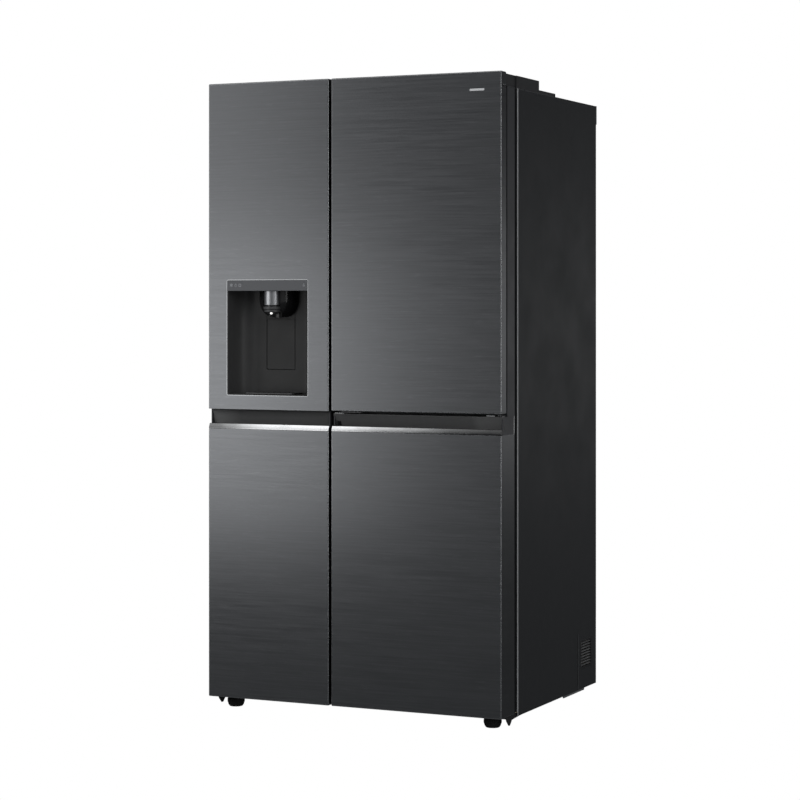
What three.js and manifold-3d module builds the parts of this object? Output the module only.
// A side-by-side refrigerator with a freezer door on the left, a fridge door on the right, a smaller
// outer door set in the fridge door's upper half, and a water and ice dispenser in the freezer door.
// Millimetres, +Z up, +Y towards the back. The origin is on the floor, at the centre of the footprint.
import * as THREE from "three";
import { mergeVertices } from "three/addons/utils/BufferGeometryUtils.js";
import Module from "manifold-3d";

const wasm = await Module();
wasm.setup();

// ---------------------------------------------------------------- driving dimensions
const WIDTH = 913;
const DEPTH = 735;
const HEIGHT = 1790;
const FRONT = -DEPTH / 2; // front face of the doors
const BACK = DEPTH / 2;
const SIDE = WIDTH / 2;
const FIT = 0.3; // gap between touching pieces
const RUNNING = 0.1; // radial clearance of a pin in its hole
const SHEET = 1.2; // outer sheet metal
const LINER = 2; // vacuum-formed plastic liners

// cabinet
const CABINET_FRONT = FRONT + 115;
const CABINET_BACK = BACK - 6;
const CABINET_TOP = 1752;
const CABINET_BOTTOM = 26;
const BASE_Z = 33; // underside of the base pan
const ROOM_Z = [94, 1692]; // inside height of both compartments
const ROOM_BACK = 295;
const STEP_Y = 130; // the compartment floor steps up behind this, over the machine room
const STEP_Z = 262;
const FREEZER_X = [-396.5, -95];
const FRIDGE_X = [-35, 401.5];
const MACHINE = { y: 165, top: 215 }; // machine room: its front wall and its ceiling
const VENT = { y: [230, 322], z: [84, 170], slots: 9 }; // side vent of the machine room

// doors
const DOOR_EDGE = SIDE - 1; // outer edge of both doors
const DOOR_BOTTOM = 34;
const DOOR_BACK = 96; // door thickness, and so the depth of its rear face
const SPLIT = [-69, -61]; // facing edges of the two doors
const BAND_TOP = 859; // the handle band's upper edge, and the outer door's lower edge
const TRIM_Z = [802.5, 817.5];
const GROOVE_FLOOR = 786;
const LEDGE = 852; // top of the fridge door's lower half, under the outer door
const PIVOT = { x: SIDE - 20, y: FRONT + 62 }; // both main doors' hinge line, mirrored in X
const PIN_R = 6;
const OUTER_PIVOT = { x: 443.5, y: FRONT + 20 };
const OUTER_PIN_R = 4;
const OUTER_BACK = 37; // outer door thickness
const FRAME_STEP = 42; // the fridge door's upper half starts this far behind the front
const PANEL = { depth: 93, wall: 1.5 }; // the doors' steel panels
const FREEZER_DOOR_X = [-DOOR_EDGE, SPLIT[0]];
const FRIDGE_DOOR_X = [SPLIT[1], DOOR_EDGE];
const PANTRY = { x: [-3, 382], z: [897, 1680], back: 205 }; // space behind the outer door
const BIN_DEPTH = [72.5, 205];
const RECESS_DEPTH = 72; // inner face of the doors between their raised rims
const RIM_DEPTH = 137;

// dispenser
const DISPENSER = { x: [-394.5, -134.8], z: [899.3, 1227], depth: 78 };
const DISPENSER_X = (DISPENSER.x[0] + DISPENSER.x[1]) / 2;
const DISPENSER_CEILING = 1197;
const NOZZLE = { x: DISPENSER_X, y: FRONT + 33, r: 26 };
const LEVER = { x: [-307, -217], z: [972, 1112], y: FRONT + 82, pin: 2 };

// inside
const SHELF_FRONT = CABINET_FRONT + 125;
const SHELF_BACK = 268;
const FREEZER_DRAWER_X = [-382, -119];
const FRIDGE_DRAWER_X = [-3, 380];
const DUCT_Z = [470, 1680];
const LOWER_DRAWER = { z: [118, 256], back: 118 };
const UPPER_DRAWER = { z: [272, 432], back: 200 };

// under the cabinet
const FOOT = { x: 402, y: FRONT + 66, r: 25, stud: 5 };
const ROLLER = { x: 380, y: 200, r: 17, axle: 4 };
const SKID = { x: [SIDE - 8, SIDE - 5], y: [108, 275], bottom: 18 }; // strip under each long edge

// ---------------------------------------------------------------- materials
const finish = (color, roughness, metalness = 0) =>
  new THREE.MeshStandardMaterial({ color, roughness, metalness });
const BRUSHED_STEEL = finish(0x4a4c50, 0.38, 0.9);
const PAINTED_STEEL = finish(0x1f2123, 0.5, 0.3);
const ZINC_STEEL = finish(0x9a9da0, 0.45, 0.8);
const CHROME = finish(0xd8dadc, 0.15, 1);
const DARK_PLASTIC = finish(0x303236, 0.45);
const BLACK_PLASTIC = finish(0x101113, 0.25);
const WHITE_PLASTIC = finish(0xe9ebec, 0.5);
const CLEAR_PLASTIC = finish(0xdfe6ea, 0.12);
const GLASS = finish(0xcfdde0, 0.05);
const RUBBER = finish(0x1a1a1b, 0.8);
const GASKET_GREY = finish(0x55585b, 0.7);
const FOAM = finish(0xd9cfa6, 0.9);
const IRON = finish(0x17181a, 0.5, 0.4);

// ---------------------------------------------------------------- geometry helpers
const depth = (d) => FRONT + d; // Y of a point d behind the doors' front face
const span = ([a, b]) => [depth(a), depth(b)];
const grow = ([a, b], by) => [a - by, b + by];
const middle = ([a, b]) => (a + b) / 2;
const mirrored = ([a, b], side) => (side < 0 ? [-b, -a] : [a, b]); // a span on the left or right side

function solid(geometry) {
  const bare = geometry.clone();
  bare.deleteAttribute("normal");
  bare.deleteAttribute("uv");
  const merged = mergeVertices(bare, 1e-3);
  const triVerts = new Uint32Array(merged.index.array);
  const vertProperties = merged.attributes.position.array;
  return new wasm.Manifold(new wasm.Mesh({ numProp: 3, vertProperties, triVerts }));
}

const join = (first, ...rest) => rest.reduce((whole, piece) => whole.add(piece), first);
const cut = (body, ...tools) => tools.reduce((left, tool) => left.subtract(tool), body);

function box([x0, x1], [y0, y1], [z0, z1]) {
  const geometry = new THREE.BoxGeometry(x1 - x0, y1 - y0, z1 - z0);
  return solid(geometry.translate((x0 + x1) / 2, (y0 + y1) / 2, (z0 + z1) / 2));
}

// A cylinder between two heights on its axis, which runs through the given point.
function rod(axis, [from, to], r, at, sides = 32) {
  const geometry = new THREE.CylinderGeometry(r, r, to - from, sides);
  geometry.translate(0, (from + to) / 2, 0);
  if (axis === "z") geometry.rotateX(Math.PI / 2).translate(at[0], at[1], 0);
  if (axis === "x") geometry.rotateZ(-Math.PI / 2).translate(0, at[0], at[1]);
  if (axis === "y") geometry.translate(at[0], 0, at[1]);
  return solid(geometry);
}

const outline = (points) => new THREE.Shape(points.map(([u, v]) => new THREE.Vector2(u, v)));

function extrude(shape, length) {
  return new THREE.ExtrudeGeometry(shape, { depth: length, bevelEnabled: false, curveSegments: 8 });
}

// A prism along X whose outline is given as [y, z] points.
function prismX(points, [x0, x1]) {
  const toX = new THREE.Matrix4().makeBasis(
    new THREE.Vector3(0, 1, 0),
    new THREE.Vector3(0, 0, 1),
    new THREE.Vector3(1, 0, 0),
  );
  return solid(extrude(outline(points), x1 - x0).applyMatrix4(toX).translate(x0, 0, 0));
}

// A prism along Z from a shape in the XY plane.
const prismZ = (shape, [z0, z1]) => solid(extrude(shape, z1 - z0).translate(0, 0, z0));

// A solid of revolution about Z from [r, z] points, which start and end on the axis.
function turned(points, sides = 32) {
  const profile = points.map(([r, z]) => new THREE.Vector2(r, z));
  return solid(new THREE.LatheGeometry(profile, sides).rotateX(Math.PI / 2));
}

// A frame-shaped ring lying in the XZ plane.
const ring = (x, y, z, border) => cut(box(x, y, z), box(grow(x, -border), grow(y, 1), grow(z, -border)));

function place(group, name, body, material, position = [0, 0, 0]) {
  const { vertProperties, triVerts, numProp } = body.getMesh();
  const geometry = new THREE.BufferGeometry();
  geometry.setAttribute("position", new THREE.BufferAttribute(vertProperties, numProp));
  geometry.setIndex(new THREE.BufferAttribute(triVerts, 1));
  geometry.computeVertexNormals();
  const mesh = new THREE.Mesh(geometry, material);
  mesh.name = name;
  mesh.position.set(...position);
  group.add(mesh);
}

const cabinet = new THREE.Group();
const freezerDoor = new THREE.Group();
const fridgeDoor = new THREE.Group();
const outerDoor = new THREE.Group();

// ---------------------------------------------------------------- cabinet
// The inside of a compartment: full depth above the machine room, shorter below it. grown > 0 gives the
// liner's outer surface.
function compartment([x0, x1], grown, front) {
  const [floor, ceiling] = grow(ROOM_Z, grown);
  const profile = [
    [front, floor],
    [STEP_Y + grown, floor],
    [STEP_Y + grown, STEP_Z - grown],
    [ROOM_BACK + grown, STEP_Z - grown],
    [ROOM_BACK + grown, ceiling],
    [front, ceiling],
  ];
  return prismX(profile, [x0 - grown, x1 + grown]);
}

function cabinetShell() {
  const outer = box([-SIDE, SIDE], [CABINET_FRONT, CABINET_BACK], [CABINET_BOTTOM, CABINET_TOP]);
  const inside = box(
    [-SIDE + SHEET, SIDE - SHEET],
    [CABINET_FRONT + SHEET, CABINET_BACK + 1],
    [CABINET_BOTTOM - 1, CABINET_TOP - SHEET],
  );
  const underFlange = box([-SIDE + SHEET, SIDE - SHEET], [CABINET_FRONT - 1, CABINET_FRONT + 3], [0, 37]);
  const mouths = [FREEZER_X, FRIDGE_X].map((x) =>
    box(grow(x, LINER + FIT), [CABINET_FRONT - 1, CABINET_FRONT + 3], grow(ROOM_Z, LINER + FIT)),
  );
  const vent = box([SIDE - 5, SIDE + 5], VENT.y, VENT.z);
  return cut(outer, inside, underFlange, ...mouths, vent);
}

function insulationFoam() {
  const block = box(
    [-SIDE + SHEET + FIT, SIDE - SHEET - FIT],
    [CABINET_FRONT + SHEET + FIT, CABINET_BACK - FIT],
    [BASE_Z + 2 + FIT, CABINET_TOP - SHEET - FIT],
  );
  const pockets = [FREEZER_X, FRIDGE_X].map((x) => compartment(x, LINER + FIT, CABINET_FRONT - 1));
  const machineRoom = box([-SIDE, SIDE], [MACHINE.y, BACK], [0, MACHINE.top]);
  return cut(block, ...pockets, machineRoom);
}

// A liner open at the front, with rails on both walls for the two drawers and the shelves.
function compartmentLiner(x, drawerX, shelfHeights) {
  const front = CABINET_FRONT + FIT;
  const shell = cut(compartment(x, LINER, front), compartment(x, 0, front - 1));
  const railY = [SHELF_FRONT + 15, LOWER_DRAWER.back];
  const drawerRails = [LOWER_DRAWER, UPPER_DRAWER].flatMap(({ z }) => {
    const railZ = [z[1] - 22, z[1] - 14];
    return [
      box([x[0] - 1, drawerX[0] + 7], railY, railZ),
      box([drawerX[1] - 7, x[1] + 1], railY, railZ),
    ];
  });
  const shelfRails = shelfHeights.flatMap((z) =>
    [[x[0] - 1, x[0] + 6], [x[1] - 6, x[1] + 1]].map((railX) =>
      box(railX, [SHELF_FRONT + 4, SHELF_BACK - 4], [z - 6, z - FIT]),
    ),
  );
  return join(shell, ...drawerRails, ...shelfRails);
}

const FREEZER_SHELVES = [440, 930];
const FRIDGE_SHELVES = [440, 850, 1260];

// A glass shelf with a raised trim along its front edge.
function shelf([x0, x1]) {
  const x = [x0 + 0.5, x1 - 0.5];
  const pane = box(x, [SHELF_FRONT, SHELF_BACK], [0, 6]);
  const trim = box([x0 + 8, x1 - 8], [SHELF_FRONT - 8, SHELF_FRONT + 8], [-8, 14]);
  const backStop = box(x, [SHELF_BACK - 6, SHELF_BACK], [0, 18]);
  return join(pane, trim, backStop);
}

// An open-topped drawer with a thick front, a pull lip and a rim that rides on the liner's rails.
function drawer([x0, x1], { z: [z0, z1], back }) {
  const wall = 3;
  const bodyX = [x0 + 9, x1 - 9];
  const front = SHELF_FRONT + 6;
  const outer = box(bodyX, [front, back], [z0, z1 - 6]);
  const rim = box([x0, x1], [front, back], [z1 - 13.7, z1 - 6]);
  const face = box([x0 - 1, x1 + 1], [front - 1, front + 8], [z0 - 1, z1]);
  const lip = box([x0 + 40, x1 - 40], [front - 9, front + 1], [z1 - 26, z1]);
  const fingerSpace = box([x0 + 44, x1 - 44], [front - 6, front], [z1 - 30, z1 - 5]);
  const inside = box(grow(bodyX, -wall), [front + 8, back - wall], [z0 + wall, z1 + 1]);
  return cut(join(outer, rim, face, lip), inside, fingerSpace);
}

// A slotted air panel in front of the compartment's rear wall.
function ductCover(x, z, slotX, slotHeights) {
  const panel = box(x, [SHELF_BACK + 3, ROOM_BACK - FIT], z);
  const hollow = box(grow(x, -3), [SHELF_BACK + 6, ROOM_BACK + 5], grow(z, -3));
  const slots = slotHeights.map((h) => box(slotX, [SHELF_BACK, SHELF_BACK + 8], [h, h + 8]));
  return cut(panel, hollow, ...slots);
}

function cabinetBack() {
  const sheetX = [-SIDE + 0.5, SIDE - 0.5];
  const sheet = box(sheetX, [CABINET_BACK + FIT, CABINET_BACK + 1.8], [222, CABINET_TOP]);
  const beads = [-300, -100, 100, 300].map((x) =>
    box([x - 12, x + 12], [CABINET_BACK + 1, CABINET_BACK + 4], [300, 1640]),
  );
  const spacers = [-1, 1].map((side) => {
    return box(mirrored([SIDE - 60, SIDE], side), [CABINET_BACK + FIT, BACK], [1697, CABINET_TOP]);
  });
  return join(sheet, ...beads, ...spacers);
}

function machineRoomCover() {
  const sheet = box([-450, 450], [CABINET_BACK + FIT, CABINET_BACK + 2.3], [40, 220]);
  const slots = [];
  for (const centre of [-260, 180]) {
    for (let i = 0; i < 6; i++) {
      const z = 70 + i * 22;
      slots.push(box([centre - 120, centre + 120], [CABINET_BACK, BACK], [z, z + 8]));
    }
  }
  const cordGland = rod("y", [CABINET_BACK + 1, BACK - 1], 12, [400, 180], 24);
  const cordHole = rod("y", [CABINET_BACK - 1, BACK + 1], 4, [400, 180], 16);
  return cut(join(cut(sheet, ...slots), cordGland), cordHole);
}

// The base pan, with an ear on each side of each rear roller and a strip under each long edge.
function cabinetBase() {
  const pan = box([-SIDE + 2, SIDE - 2], [CABINET_FRONT + 3, CABINET_BACK - 1], [BASE_Z, BASE_Z + 2]);
  const frontLip = box([-340, 340], [CABINET_FRONT + 3, CABINET_FRONT + 5], [BASE_Z - 5, BASE_Z + 1]);
  let body = join(pan, frontLip);
  for (const side of [-1, 1]) {
    const x = side * ROLLER.x;
    const earX = [x - 12, x + 12];
    const wheelGap = box([x - 10.5, x + 10.5], [ROLLER.y - 20, ROLLER.y + 20], [0, BASE_Z + 5]);
    const axleHole = rod("x", [x - 20, x + 20], ROLLER.axle + RUNNING, [ROLLER.y, ROLLER.r]);
    const ears = box(earX, [ROLLER.y - 18, ROLLER.y + 18], [8, BASE_Z + 1]);
    const skid = box(mirrored(SKID.x, side), SKID.y, [SKID.bottom, BASE_Z + 1]);
    body = cut(join(body, ears, skid), wheelGap, axleHole);
  }
  return body;
}

function lowerHinge(side) {
  const x = side * PIVOT.x;
  const plateX = mirrored([352, 451], side);
  const plateZ = [BASE_Z - 4.3, BASE_Z - FIT];
  const plate = box(plateX, [depth(38), CABINET_FRONT + 45], plateZ);
  const flange = prismX(
    [
      [depth(44), BASE_Z - 1],
      [depth(52), 20],
      [depth(66), 7],
      [depth(72), 7],
      [depth(86), 20],
      [CABINET_FRONT + 40, 24],
      [CABINET_FRONT + 40, BASE_Z - 1],
    ],
    mirrored([448, 451], side),
  );
  const pin = rod("z", [BASE_Z - 2, 47], PIN_R, [x, PIVOT.y]);
  const footHole = rod("z", [0, BASE_Z + 5], FOOT.stud + RUNNING, [side * FOOT.x, FOOT.y]);
  return cut(join(plate, flange, pin), footHole);
}

function upperHinge(side) {
  const x = side * PIVOT.x;
  const armX = [x - 9, x + 9];
  const baseX = mirrored([352, PIVOT.x + 9], side);
  const z = [CABINET_TOP + FIT, CABINET_TOP + 4.3];
  const arm = box(armX, [PIVOT.y, CABINET_FRONT + 20], z);
  const tip = rod("z", z, 9, [x, PIVOT.y]);
  const base = box(baseX, [CABINET_FRONT + 5, CABINET_FRONT + 90], z);
  const pin = rod("z", [CABINET_TOP - 14, CABINET_TOP + 2], PIN_R, [x, PIVOT.y]);
  const bolts = [380, 415].map((bx) =>
    rod("z", [CABINET_TOP + 2, CABINET_TOP + 10], 6, [side * bx, CABINET_FRONT + 60], 6),
  );
  return join(arm, tip, base, pin, ...bolts);
}

// A cover that is tall over the hinge and low behind it, open underneath.
function hingeCover(side) {
  const wall = 2.5;
  const z = CABINET_TOP + FIT;
  const across = (near, far) => mirrored([near, far], side);
  const blocks = (by) => {
    const top = HEIGHT - 3 - by;
    const base = by > 0 ? z - 10 : z;
    const noseX = grow(across(402, 448), -by);
    const coverX = grow(across(302, 452), -by);
    const nose = box(noseX, [depth(46) + by, CABINET_FRONT + 10], [base + 2, top]);
    const tall = box(coverX, [CABINET_FRONT + 1 + by, -85 - by], [base, top]);
    const low = box(coverX, [-97, 40 - by], [base, z + 9 - by]);
    return join(nose, tall, low);
  };
  const armSlot = box(
    across(PIVOT.x - 11, PIVOT.x + 11),
    [depth(44), CABINET_FRONT + 20],
    [z - 5, z + 5],
  );
  return cut(blocks(0), blocks(wall), armSlot);
}

function sideVentGrille() {
  const y = grow(VENT.y, -FIT);
  const z = grow(VENT.z, -FIT);
  const frame = box([SIDE - 4, SIDE - 0.2], y, z);
  const slots = [];
  for (let i = 0; i < VENT.slots; i++) {
    const base = VENT.z[0] + 6 + i * 8.6;
    slots.push(box([SIDE - 10, SIDE + 5], grow(VENT.y, -7), [base, base + 4.6]));
  }
  return cut(frame, ...slots);
}

function compressor() {
  const can = turned([[0, 8], [58, 8], [64, 20], [64, 104], [56, 128], [36, 142], [0, 146]], 28);
  const skirt = box([-82, 82], [-60, 60], [0, 10]);
  const pipe = rod("z", [60, 128], 5, [74, 0], 12);
  const elbow = rod("x", [50, 76], 5, [0, 70], 12);
  return join(can, skirt, pipe, elbow);
}

// A finned block with the fan's shroud plate on its left face.
function condenser() {
  const fins = [];
  for (let i = 0; i < 13; i++) {
    fins.push(box([70 + i * 15, 72 + i * 15], [205, 325], [45, 185]));
  }
  const tubes = [65, 105, 145].flatMap((z) =>
    [235, 295].map((y) => rod("x", [60, 262], 5, [y, z], 10)),
  );
  const plate = box([48, 60], [190, 340], [38, 205]);
  const mouth = rod("x", [40, 70], 66, [265, 115], 32);
  const rails = [215, 315].map((y) => box([40, 262], [y - 5, y + 5], [38, 46]));
  return join(cut(plate, mouth), ...tubes, ...fins, ...rails);
}

function condenserFan() {
  const hub = rod("x", [-14, 12], 17, [0, 0], 24);
  const blades = [];
  for (let i = 0; i < 5; i++) {
    const blade = new THREE.BoxGeometry(3, 26, 44);
    blade.rotateZ(0.6).translate(0, 0, 36).rotateX((i * 2 * Math.PI) / 5);
    blades.push(solid(blade));
  }
  return join(hub, ...blades);
}

function foot() {
  const neck = BASE_Z - 4.8;
  const top = BASE_Z + 0.4;
  const cup = [[0, 0], [19, 0], [22, 5], [FOOT.r, 14], [FOOT.r, 22], [22, neck]];
  return turned([...cup, [FOOT.stud, neck], [FOOT.stud, top], [0, top]]);
}

const roller = () =>
  join(rod("x", [-9.5, 9.5], ROLLER.r, [0, 0], 32), rod("x", [-13.5, 13.5], ROLLER.axle, [0, 0]));

place(cabinet, "cabinet_shell", cabinetShell(), PAINTED_STEEL);
place(cabinet, "cabinet_back", cabinetBack(), ZINC_STEEL);
place(cabinet, "cabinet_base", cabinetBase(), ZINC_STEEL);
place(cabinet, "insulation_foam", insulationFoam(), FOAM);
const freezerLiner = compartmentLiner(FREEZER_X, FREEZER_DRAWER_X, FREEZER_SHELVES);
const fridgeLiner = compartmentLiner(FRIDGE_X, FRIDGE_DRAWER_X, FRIDGE_SHELVES);
place(cabinet, "freezer_liner", freezerLiner, WHITE_PLASTIC);
place(cabinet, "fridge_liner", fridgeLiner, WHITE_PLASTIC);
const freezerSlots = [520, 760, 1000, 1240, 1480];
const fridgeSlots = [520, 650, 930, 1060, 1340, 1470, 1600];
const freezerDuct = ductCover([-380, -112], DUCT_Z, [-330, -160], freezerSlots);
const fridgeDuct = ductCover([95, 275], DUCT_Z, [115, 255], fridgeSlots);
place(cabinet, "freezer_duct_cover", freezerDuct, WHITE_PLASTIC);
place(cabinet, "fridge_duct_cover", fridgeDuct, WHITE_PLASTIC);
place(cabinet, "freezer_shelf_lower", shelf(FREEZER_X), GLASS, [0, 0, FREEZER_SHELVES[0]]);
place(cabinet, "freezer_shelf_upper", shelf(FREEZER_X), GLASS, [0, 0, FREEZER_SHELVES[1]]);
place(cabinet, "crisper_cover", shelf(FRIDGE_X), GLASS, [0, 0, FRIDGE_SHELVES[0]]);
place(cabinet, "fridge_shelf_middle", shelf(FRIDGE_X), GLASS, [0, 0, FRIDGE_SHELVES[1]]);
place(cabinet, "fridge_shelf_upper", shelf(FRIDGE_X), GLASS, [0, 0, FRIDGE_SHELVES[2]]);
place(cabinet, "freezer_drawer_lower", drawer(FREEZER_DRAWER_X, LOWER_DRAWER), CLEAR_PLASTIC);
place(cabinet, "freezer_drawer_upper", drawer(FREEZER_DRAWER_X, UPPER_DRAWER), CLEAR_PLASTIC);
place(cabinet, "crisper_drawer_lower", drawer(FRIDGE_DRAWER_X, LOWER_DRAWER), CLEAR_PLASTIC);
place(cabinet, "crisper_drawer_upper", drawer(FRIDGE_DRAWER_X, UPPER_DRAWER), CLEAR_PLASTIC);
place(cabinet, "machine_room_cover", machineRoomCover(), ZINC_STEEL);
place(cabinet, "side_vent_grille", sideVentGrille(), BLACK_PLASTIC);
place(cabinet, "compressor", compressor(), IRON, [-250, 262, 36]);
place(cabinet, "condenser", condenser(), IRON);
place(cabinet, "condenser_fan", condenserFan(), BLACK_PLASTIC, [45, 265, 115]);
for (const [name, side] of [["left", -1], ["right", 1]]) {
  place(cabinet, `lower_hinge_${name}`, lowerHinge(side), IRON);
  place(cabinet, `upper_hinge_${name}`, upperHinge(side), ZINC_STEEL);
  place(cabinet, `hinge_cover_${name}`, hingeCover(side), DARK_PLASTIC);
  place(cabinet, `front_foot_${name}`, foot(), RUBBER, [side * FOOT.x, FOOT.y, 0]);
  place(cabinet, `rear_roller_${name}`, roller(), RUBBER, [side * ROLLER.x, ROLLER.y, ROLLER.r]);
}

// ---------------------------------------------------------------- pieces that both doors share
// The handle band: a face that slopes back as it goes down, and a finger groove behind the trim.
function handleBand([x0, x1], top) {
  const at = (d, z) => [depth(d), z];
  const profile = [
    at(2.8, top + 1),
    at(14, top + 1),
    at(32, 812),
    at(32, GROOVE_FLOOR),
    at(9.3, GROOVE_FLOOR),
    at(9.3, 801.5),
    at(2.8, 801.5),
    at(2.8, 798.5),
    at(6.3, 798.5),
    at(6.3, GROOVE_FLOOR - 3),
    at(35, GROOVE_FLOOR - 3),
    at(35, 812.5),
    at(17, top + 4),
    at(2.8, top + 4),
  ];
  return prismX(profile, [x0 + 1, x1 - 1]);
}

// The open space in front of the band, across the whole door.
const bandSpace = ([x0, x1], top) => box([x0 - 5, x1 + 5], span([-5, 13.8]), [802, top + FIT]);

// A bright strip along the top of the lower panel, its face tilted up.
function handleTrim([x0, x1]) {
  const [low, high] = TRIM_Z;
  const profile = [
    [depth(0.5), low],
    [depth(9), low],
    [depth(9), high],
    [depth(6), high],
    [depth(0.5), low + 4],
  ];
  return prismX(profile, [x0 + 0.5, x1 - 0.5]);
}

// A sheet-metal tray: front skin and side returns, open at the back and at one end in Z.
function panelTray([x0, x1], [z0, z1], openEnd, deep) {
  const wall = PANEL.wall;
  const outer = box([x0, x1], span([0, deep]), [z0, z1]);
  const z = openEnd === "bottom" ? [z0 - 1, z1 - wall] : [z0 + wall, z1 + 1];
  return cut(outer, box([x0 + wall, x1 - wall], span([2, deep + 1]), z));
}

// An open-topped storage bin that hangs on a door.
function bin([x0, x1], [y0, y1], height) {
  const wall = 2.5;
  const outer = box([x0, x1], [y0, y1], [0, height]);
  const inside = box([x0 + wall, x1 - wall], [y0 + wall, y1 - wall], [wall, height + 1]);
  const lowBack = box([x0 + 20, x1 - 20], [y0 - 1, y0 + wall + 1], [height * 0.6, height + 1]);
  return cut(outer, inside, lowBack);
}

const pinBoss = (x, z, r) => rod("z", z, r, [x, PIVOT.y], 24);
const pinHole = (x, z) => rod("z", z, PIN_R + RUNNING, [x, PIVOT.y]);
const gasketRing = (x) => ring(x, span([DOOR_BACK + FIT, 114.2]), [52, 1738], 16);

// ---------------------------------------------------------------- freezer door
const NOTCH_X = [-DOOR_EDGE - 1, -330]; // the hinge cover reaches over the door here
const NOTCH_Z = [CABINET_TOP, HEIGHT + 1];
const INNER_FREEZER_X = grow(FREEZER_DOOR_X, -PANEL.wall - FIT);
const FREEZER_RIM_X = [-394, -107];

function freezerDoorFrame() {
  const x = INNER_FREEZER_X;
  const z = [DOOR_BOTTOM + PANEL.wall + FIT, HEIGHT - PANEL.wall - FIT];
  const notch = (by) =>
    box([NOTCH_X[0], NOTCH_X[1] + by], [depth(OUTER_BACK) - by, depth(DOOR_BACK) + 5], [
      NOTCH_Z[0] - by,
      NOTCH_Z[1],
    ]);
  const outer = cut(box(x, span([2.3, 93.7]), z), notch(0));
  const inside = cut(box(grow(x, -3), span([0, DOOR_BACK]), grow(z, -3)), notch(3));
  const bosses = [
    pinBoss(-PIVOT.x, [36, 54], 13),
    pinBoss(-PIVOT.x, [CABINET_TOP - 18, CABINET_TOP - 1], 13),
  ];
  const walls = join(cut(outer, inside), handleBand(x, BAND_TOP), ...bosses);
  const holes = [pinHole(-PIVOT.x, [30, 50]), pinHole(-PIVOT.x, [CABINET_TOP - 16, CABINET_TOP + 5])];
  return cut(walls, bandSpace(x, BAND_TOP), ...holes);
}

function freezerUpperPanel() {
  const tray = panelTray(FREEZER_DOOR_X, [BAND_TOP, HEIGHT], "bottom", PANEL.depth);
  const window = box(DISPENSER.x, span([-5, 5]), DISPENSER.z);
  const notch = box(NOTCH_X, span([OUTER_BACK, DOOR_BACK]), NOTCH_Z);
  return cut(tray, window, notch);
}

function lowerPanel(x, pivotX) {
  const tray = panelTray(x, [DOOR_BOTTOM, TRIM_Z[0] - 0.5], "top", PANEL.depth);
  return cut(tray, rod("z", [30, 40], PIN_R + 3, [pivotX, PIVOT.y], 24));
}

// The white inner moulding: a rim that reaches into the compartment, a recess for the bins below, a
// recess for the ice maker above, and a hollow between them for the dispenser.
function freezerDoorLiner() {
  const flange = box(grow(FREEZER_DOOR_X, -2), span([94, DOOR_BACK]), [36, CABINET_TOP - 2]);
  const rim = box(FREEZER_RIM_X, span([95, RIM_DEPTH]), [104, 1684]);
  const recessX = grow(FREEZER_RIM_X, -10);
  const panY = span([RECESS_DEPTH - 2, 96]);
  const pans = [[112, 872], [1253, 1676]].map((z) => box(grow(recessX, 2), panY, z));
  const recesses = [[114, 870], [1255, 1674]].map((z) => box(recessX, span([RECESS_DEPTH, 150]), z));
  const dispenserHollow = box(recessX, span([90, RIM_DEPTH - 2]), [874, 1251]);
  return cut(join(flange, rim, ...pans), ...recesses, dispenserHollow);
}

// The plan outline of the dispenser's recess: wide at the front, narrower and rounded at the back.
function recessPlan(grown, front) {
  const [x0, x1] = [DISPENSER.x[0] + 2.5 - grown, DISPENSER.x[1] - 2.5 + grown];
  const back = depth(DISPENSER.depth + grown);
  const shape = new THREE.Shape();
  shape.moveTo(x0, depth(front));
  shape.lineTo(x1, depth(front));
  shape.lineTo(x1, depth(18));
  shape.quadraticCurveTo(x1 - 4, back, x1 - 52, back);
  shape.lineTo(x0 + 52, back);
  shape.quadraticCurveTo(x0 + 4, back, x0, depth(18));
  return shape;
}

function dispenserHousing() {
  const [z0, z1] = grow(DISPENSER.z, -FIT);
  const outer = prismZ(recessPlan(2.2, 0.4), [z0, z1]);
  const inside = prismZ(recessPlan(0, -2), [z0 + 2.5, DISPENSER_CEILING]);
  const panelSeat = box(grow(DISPENSER.x, 1), span([-2, 12.3]), [DISPENSER_CEILING - 1, z1 + 1]);
  const leverBack = box(grow(LEVER.x, 6), span([DISPENSER.depth, 96]), grow(LEVER.z, 7));
  const leverPocket = box(grow(LEVER.x, 1.5), span([DISPENSER.depth - 1, 94]), grow(LEVER.z, 5));
  const leverBore = rod("x", grow(LEVER.x, 5), LEVER.pin + RUNNING, [LEVER.y, LEVER.z[1]], 24);
  const domeProfile = [[0, 1117], [34, 1118], [50, 1126], [57, 1138], [59, 1156], [59, 1198], [0, 1198]];
  const dome = turned(domeProfile, 40).translate([NOZZLE.x, depth(DISPENSER.depth), 0]);
  const chute = cut(
    dome,
    box([-500, 0], span([DISPENSER.depth + 1, 200]), [1000, 1300]),
    rod("z", [1000, 1300], NOZZLE.r + 1, [NOZZLE.x, NOZZLE.y], 32),
  );
  return join(cut(join(outer, leverBack), inside, panelSeat, leverPocket, leverBore), chute);
}

function dispenserControlPanel() {
  const x = grow(DISPENSER.x, -FIT);
  return box(x, span([0.4, 12]), [DISPENSER_CEILING - 0.7, DISPENSER.z[1] - FIT]);
}

function dispenserNozzle() {
  const top = DISPENSER_CEILING - 1;
  const profile = [
    [0, 1132],
    [12, 1129],
    [21, 1136],
    [24, 1137],
    [24, 1143],
    [NOZZLE.r, 1145],
    [NOZZLE.r, 1153],
    [24.5, 1154],
    [24.5, top],
    [0, top],
  ];
  return turned(profile, 40);
}

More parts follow.
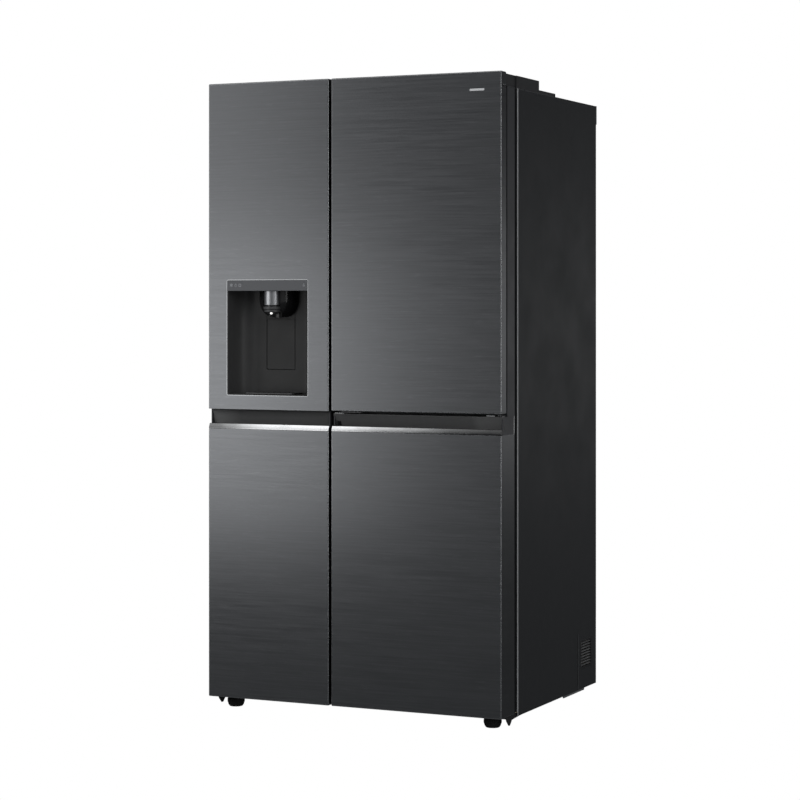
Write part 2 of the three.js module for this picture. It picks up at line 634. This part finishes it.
// The paddle lies flush with the recess's back wall and hangs from a pin near its top edge.
function dispenserLever() {
  const height = LEVER.z[1] - LEVER.z[0];
  const paddle = box([-45, 45], [-3.8, 0.2], [-height, 4]);
  const barrel = rod("x", [-45.5, 45.5], 3.4, [0, 0], 16);
  const pin = rod("x", [-49, 49], LEVER.pin, [0, 0], 24);
  return join(paddle, barrel, pin);
}

function dripTray() {
  const tray = box([-80, 80], span([10, 68]), [0, 4]);
  const slots = [];
  for (let i = 0; i < 7; i++) {
    slots.push(box([-62, 62], span([16 + i * 7, 19 + i * 7]), [1.5, 5]));
  }
  return cut(tray, ...slots);
}

// The ice maker's case: a freezing tray housing above an open-topped ice bin.
function iceMaker() {
  const x = [-383, -138];
  const y = span([RECESS_DEPTH + FIT, 218]);
  const outer = box(x, y, [1262, 1600]);
  const inside = box(grow(x, -3), grow(y, -3), [1265, 1700]);
  const head = box([-376, -240], grow(y, -3.5), [1520, 1660]);
  const bridge = box([-383, -240], grow(y, -1), [1560, 1572]);
  return join(cut(outer, inside), head, bridge);
}

place(freezerDoor, "freezer_door_frame", freezerDoorFrame(), DARK_PLASTIC);
place(freezerDoor, "freezer_door_upper_panel", freezerUpperPanel(), BRUSHED_STEEL);
place(freezerDoor, "freezer_door_lower_panel", lowerPanel(FREEZER_DOOR_X, -PIVOT.x), BRUSHED_STEEL);
place(freezerDoor, "freezer_door_handle_trim", handleTrim(FREEZER_DOOR_X), CHROME);
place(freezerDoor, "freezer_door_liner", freezerDoorLiner(), WHITE_PLASTIC);
place(freezerDoor, "freezer_door_gasket", gasketRing([-426, -74]), GASKET_GREY);
const freezerBin = () => bin([-383.5, -128], span(BIN_DEPTH), 118);
place(freezerDoor, "freezer_door_bin_lower", freezerBin(), CLEAR_PLASTIC, [0, 0, 455]);
place(freezerDoor, "freezer_door_bin_upper", freezerBin(), CLEAR_PLASTIC, [0, 0, 665]);
place(freezerDoor, "ice_maker", iceMaker(), WHITE_PLASTIC);
place(freezerDoor, "dispenser_housing", dispenserHousing(), BLACK_PLASTIC);
place(freezerDoor, "dispenser_control_panel", dispenserControlPanel(), BLACK_PLASTIC);
place(freezerDoor, "dispenser_nozzle", dispenserNozzle(), CHROME, [NOZZLE.x, NOZZLE.y, 0]);
const leverAxis = [middle(LEVER.x), LEVER.y, LEVER.z[1]];
place(freezerDoor, "dispenser_lever", dispenserLever(), BLACK_PLASTIC, leverAxis);
place(freezerDoor, "dispenser_drip_tray", dripTray(), BLACK_PLASTIC, [DISPENSER_X, 0, 902.6]);

// ---------------------------------------------------------------- fridge door
const INNER_FRIDGE_X = grow(FRIDGE_DOOR_X, -PANEL.wall - FIT);
const FRIDGE_RIM_X = [-15, 392];

function fridgeDoorFrame() {
  const x = INNER_FRIDGE_X;
  const lowZ = [DOOR_BOTTOM + PANEL.wall + FIT, LEDGE];
  const lowInside = box(grow(x, -3), span([0, DOOR_BACK]), grow(lowZ, -3));
  const walls = cut(box(x, span([2.3, 93.7]), lowZ), lowInside);
  const lower = join(walls, handleBand(x, LEDGE - 5), pinBoss(PIVOT.x, [36, 54], 13));
  const mouth = box(grow(PANTRY.x, LINER + FIT), span([0, 200]), grow(PANTRY.z, LINER + FIT));
  const block = box(FRIDGE_DOOR_X, span([FRAME_STEP, 93.7]), [LEDGE - 1, CABINET_TOP]);
  const hollow = cut(
    box(grow(FRIDGE_DOOR_X, -3), span([FRAME_STEP + 3, DOOR_BACK]), [LEDGE + 2, CABINET_TOP - 3]),
    box(grow(PANTRY.x, LINER + 3), span([0, 200]), grow(PANTRY.z, LINER + 3)),
    pinBoss(PIVOT.x, [CABINET_TOP - 18, CABINET_TOP], 13),
  );
  const upper = cut(block, mouth, hollow);
  const tongue = box(
    [OUTER_PIVOT.x - 8, OUTER_PIVOT.x + 8],
    [OUTER_PIVOT.y, depth(FRAME_STEP + 5)],
    [CABINET_TOP - 5, CABINET_TOP - 1],
  );
  const tip = rod("z", [CABINET_TOP - 5, CABINET_TOP - 1], 8, [OUTER_PIVOT.x, OUTER_PIVOT.y], 24);
  const pin = rod("z", [CABINET_TOP - 2, CABINET_TOP + 13], OUTER_PIN_R, [OUTER_PIVOT.x, OUTER_PIVOT.y]);
  const holes = [pinHole(PIVOT.x, [30, 50]), pinHole(PIVOT.x, [CABINET_TOP - 16, CABINET_TOP + 5])];
  const openLedge = box([x[0] - 5, x[1] + 5], span([-5, 14]), [802, LEDGE + 1]);
  return join(cut(join(lower, upper), bandSpace(x, LEDGE - 5), openLedge, ...holes), tongue, tip, pin);
}

// The white inner moulding: a recess for the lower bins, and above it the box behind the outer door.
function fridgeDoorLiner() {
  const flange = box(grow(FRIDGE_DOOR_X, -2), span([94, DOOR_BACK]), [36, CABINET_TOP - 2]);
  const rim = box(FRIDGE_RIM_X, span([95, RIM_DEPTH]), [104, 1684]);
  const recessX = [-5, 382];
  const pan = box(grow(recessX, 2), span([RECESS_DEPTH - 2, 96]), [112, 846]);
  const recess = box(recessX, span([RECESS_DEPTH, 150]), [114, 844]);
  const pantryY = span([FRAME_STEP + 1, PANTRY.back + 2]);
  const pantryBox = box(grow(PANTRY.x, LINER), pantryY, grow(PANTRY.z, LINER));
  const pantrySpace = box(PANTRY.x, span([0, PANTRY.back]), PANTRY.z);
  const vents = [];
  for (let i = 0; i < 6; i++) {
    const z = 1080 + i * 95;
    vents.push(box([90, 290], span([PANTRY.back - 1, PANTRY.back + 5]), [z, z + 12]));
  }
  return cut(join(flange, rim, pan, pantryBox), recess, pantrySpace, ...vents);
}

function outerDoorLowerHinge() {
  const plate = box([405, 452], span([12, 41.5]), [LEDGE + FIT, LEDGE + 3.3]);
  const pin = rod("z", [LEDGE + 2, 869], OUTER_PIN_R, [OUTER_PIVOT.x, OUTER_PIVOT.y]);
  return join(plate, pin);
}

place(fridgeDoor, "fridge_door_frame", fridgeDoorFrame(), DARK_PLASTIC);
place(fridgeDoor, "fridge_door_lower_panel", lowerPanel(FRIDGE_DOOR_X, PIVOT.x), BRUSHED_STEEL);
place(fridgeDoor, "fridge_door_handle_trim", handleTrim(FRIDGE_DOOR_X), CHROME);
place(fridgeDoor, "fridge_door_liner", fridgeDoorLiner(), WHITE_PLASTIC);
place(fridgeDoor, "fridge_door_gasket", gasketRing([-56, 426]), GASKET_GREY);
const fridgeBin = () => bin([0, 381.5], span(BIN_DEPTH), 118);
place(fridgeDoor, "fridge_door_bin_lower", fridgeBin(), CLEAR_PLASTIC, [0, 0, 455]);
place(fridgeDoor, "fridge_door_bin_upper", fridgeBin(), CLEAR_PLASTIC, [0, 0, 665]);
const pantryBasket = () => bin(grow(PANTRY.x, -0.5), span([56, PANTRY.back - 1]), 105);
place(fridgeDoor, "pantry_basket_lower", pantryBasket(), CLEAR_PLASTIC, [0, 0, 898]);
place(fridgeDoor, "pantry_basket_upper", pantryBasket(), CLEAR_PLASTIC, [0, 0, 1290]);
place(fridgeDoor, "outer_door_lower_hinge", outerDoorLowerHinge(), CHROME);

// ---------------------------------------------------------------- outer door
const OUTER_Z = [BAND_TOP + 0.5, HEIGHT];
const BUTTON_X = [-30, 30];
const BUTTON_DEPTH = [4, 12];

// The space that the fridge door's upper hinge tongue sweeps as the outer door opens.
const tongueSpace = () => box([434, SIDE], span([6, 45]), [CABINET_TOP - 6, CABINET_TOP + 2]);
const outerPinHole = (z) => rod("z", z, OUTER_PIN_R + RUNNING, [OUTER_PIVOT.x, OUTER_PIVOT.y]);
const buttonSpace = (by) => box(grow(BUTTON_X, by), span(grow(BUTTON_DEPTH, by)), [850, 872]);

function outerDoorPanel() {
  const x = FRIDGE_DOOR_X;
  const wall = PANEL.wall;
  const outer = box(x, span([0, 34]), OUTER_Z);
  const inside = box(grow(x, -wall), span([2, 35]), grow(OUTER_Z, -wall));
  return cut(cut(outer, inside), tongueSpace(), outerPinHole([850, 870]), buttonSpace(0.4));
}

// The inner moulding, with a raised pad that fits the mouth behind it.
function outerDoorLiner() {
  const x = grow(FRIDGE_DOOR_X, -PANEL.wall - FIT);
  const z = grow(OUTER_Z, -PANEL.wall - FIT);
  const inside = box(grow(x, -3), span([0, OUTER_BACK - 3]), grow(z, -3));
  const shell = cut(box(x, span([2.3, OUTER_BACK]), z), inside);
  const pad = box([8, 371], span([OUTER_BACK - 1, 50]), [908, 1669]);
  const padHollow = box([11, 368], span([OUTER_BACK - 5, 47]), [911, 1666]);
  const topBoss = box([430, x[1]], span([5, OUTER_BACK]), [CABINET_TOP - 9, CABINET_TOP + 20]);
  const lowBoss = box([430, x[1]], span([5, OUTER_BACK]), [z[0], 880]);
  const buttonCase = box(grow(BUTTON_X, 4), span([2.3, 16]), [z[0], 876]);
  const body = join(cut(join(shell, pad), padHollow), topBoss, lowBoss, buttonCase);
  const holes = [outerPinHole([850, 872]), outerPinHole([CABINET_TOP - 1, CABINET_TOP + 16])];
  return cut(body, tongueSpace(), buttonSpace(0.4), ...holes);
}

place(outerDoor, "outer_door_panel", outerDoorPanel(), BRUSHED_STEEL);
place(outerDoor, "outer_door_liner", outerDoorLiner(), WHITE_PLASTIC);
const outerGasket = ring([-30, 409], span([OUTER_BACK + FIT, FRAME_STEP - FIT]), [870, 1707], 16);
place(outerDoor, "outer_door_gasket", outerGasket, GASKET_GREY);
const releaseButton = box(BUTTON_X, span(BUTTON_DEPTH), [856, 868]);
place(outerDoor, "outer_door_release_button", releaseButton, DARK_PLASTIC);

const refrigerator = new THREE.Group();
fridgeDoor.add(outerDoor);
refrigerator.add(cabinet, freezerDoor, fridgeDoor);

export default refrigerator;
